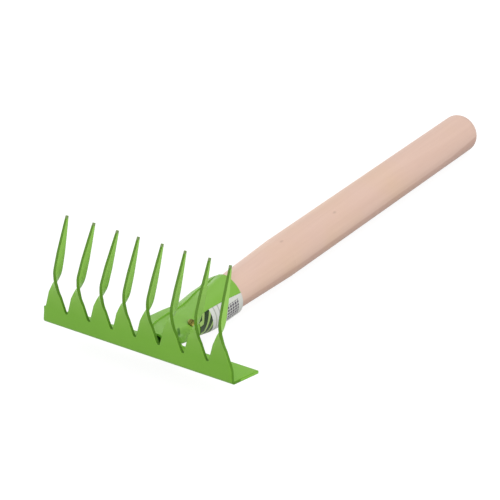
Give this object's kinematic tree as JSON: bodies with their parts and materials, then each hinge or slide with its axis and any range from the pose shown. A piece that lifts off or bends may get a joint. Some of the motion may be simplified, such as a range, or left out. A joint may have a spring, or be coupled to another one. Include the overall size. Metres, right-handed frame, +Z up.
{
  "type": "hand rake",
  "caption": "Short-handled garden rake with a folded sheet-steel head of twisted teeth, welded to a flattened tube socket on a turned wooden handle.",
  "frame": {"origin": "on the handle's axis, at the middle of the grip", "axes": "+Y along the handle from the head towards the free end, +Z up on the side that the teeth point to, +X across the head"},
  "size_m": [0.1613, 0.3851, 0.0879],
  "materials": {
    "green_paint": "satin powder paint",
    "birch": "sanded, unvarnished",
    "zinc_steel": "yellowish zinc plating",
    "label_paper": "printed paper, slightly glossy"
  },
  "bodies": {
    "root": {"rake_head": "green_paint", "socket": "green_paint", "socket_welds": "green_paint", "handle": "birch", "handle_screw": "zinc_steel", "label": "label_paper"}
  },
  "joints": []
}
